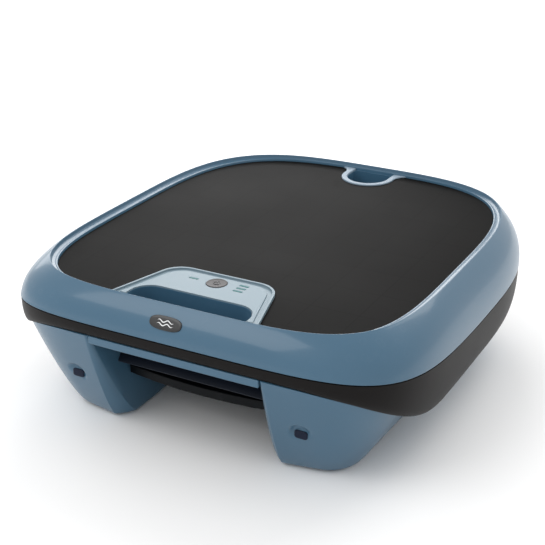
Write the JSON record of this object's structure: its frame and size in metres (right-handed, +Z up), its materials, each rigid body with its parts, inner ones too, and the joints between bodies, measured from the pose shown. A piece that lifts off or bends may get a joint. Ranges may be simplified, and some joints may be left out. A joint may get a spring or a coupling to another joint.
{
  "type": "pool surface skimmer",
  "caption": "Floating twin-keel pool robot: solar deck, paddle intake at the bow, slide-out debris basket, stern thrusters.",
  "frame": {"origin": "centre of the footprint on the plane of the keels' soles", "axes": "+X to the right when looking at the bow (right seen from the bow camera), -Y to the bow, +Z up"},
  "size_m": [0.466, 0.5023, 0.163],
  "materials": {
    "blue_shell": "satin moulded ABS, light texture",
    "pale_console": "satin moulded ABS",
    "black_shell": "fine matt texture",
    "solar_glass": "clear hard coat over black cells",
    "solar_cell": "laminate",
    "seal": "soft elastomer",
    "button_grey": "soft touch",
    "light_guide": "translucent light guide",
    "badge_white": "gloss badge",
    "board_green": "solder resist",
    "dark_window": "infrared-passing window",
    "navy_plastic": "matt",
    "basket_plastic": "matt",
    "steel": "stainless",
    "motor_can": "zinc plated can",
    "acetal": "natural acetal",
    "brass": "machined",
    "cell_wrap": "shrink sleeve",
    "box_grey": "matt",
    "mesh_grey": "woven filter mesh"
  },
  "bodies": {
    "hull": {"top_frame": "blue_shell", "solar_glass": "solar_glass", "solar_cells": "solar_cell", "panel_seal_left": "seal", "panel_seal_right": "seal", "console_panel": "pale_console", "button_switch": "box_grey", "console_board": "board_green", "status_lights": "light_guide", "rear_grip_cup": "blue_shell", "badge": "badge_white", "seam_gasket": "seal", "lower_hull": "black_shell", "keel_left": "blue_shell", "keel_right": "blue_shell", "front_apron": "blue_shell", "intake_lip": "black_shell", "sensor_window_left": "dark_window", "sensor_window_right": "dark_window", "sensor_left": "box_grey", "sensor_right": "box_grey", "paddle_bush_left": "acetal", "paddle_bush_right": "acetal", "paddle_motor": "motor_can", "motor_bracket": "steel", "duct_left": "black_shell", "duct_right": "black_shell", "prop_seal_left": "seal", "prop_seal_right": "seal", "thruster_motor_left": "motor_can", "thruster_motor_right": "motor_can", "battery_left": "cell_wrap", "battery_right": "cell_wrap", "control_box": "box_grey", "control_lid": "box_grey", "control_board": "board_green", "hull_screws": "steel", "lid_screws": "steel"},
    "paddle": {"paddle_wheel": "navy_plastic", "paddle_shaft": "steel", "paddle_gear": "acetal"},
    "pinion": {"motor_pinion": "brass"},
    "button": {"power_button": "button_grey"},
    "basket": {"basket_tub": "basket_plastic", "basket_mesh": "mesh_grey", "basket_grille": "black_shell", "flap_pin": "steel"},
    "flap": {"intake_flap": "basket_plastic"},
    "prop_left_body": {"propeller_left": "navy_plastic", "prop_shaft_left": "steel"},
    "prop_right_body": {"propeller_right": "navy_plastic", "prop_shaft_right": "steel"}
  },
  "joints": [
    {"name": "paddle_spin", "type": "hinge", "parent": "hull", "child": "paddle", "pos_m": [0, -0.1925, 0.0885], "axis": [1, 0, 0], "continuous": true},
    {"name": "pinion_spin", "type": "hinge", "parent": "hull", "child": "pinion", "pos_m": [0, -0.1645, 0.0885], "axis": [1, 0, 0], "continuous": true},
    {"name": "button_press", "type": "slide", "parent": "hull", "child": "button", "axis": [0, 0, 1], "range_m": [-0.0012, 0], "stiffness_N_per_m": 1500, "springref_m": 0.0003},
    {"name": "basket_slide", "type": "slide", "parent": "hull", "child": "basket", "axis": [0, 1, 0], "range_m": [0, 0.34]},
    {"name": "flap_swing", "type": "hinge", "parent": "basket", "child": "flap", "pos_m": [0, -0.136, 0.098], "axis": [1, 0, 0], "range_deg": [0, 70]},
    {"name": "prop_left", "type": "hinge", "parent": "hull", "child": "prop_left_body", "pos_m": [-0.1235, 0, 0.0247], "axis": [0, 1, 0], "continuous": true},
    {"name": "prop_right", "type": "hinge", "parent": "hull", "child": "prop_right_body", "pos_m": [0.1235, 0, 0.0247], "axis": [0, 1, 0], "continuous": true}
  ],
  "couplings": [
    {"joint": "pinion_spin", "follows": "paddle_spin", "ratio": -2.5}
  ]
}
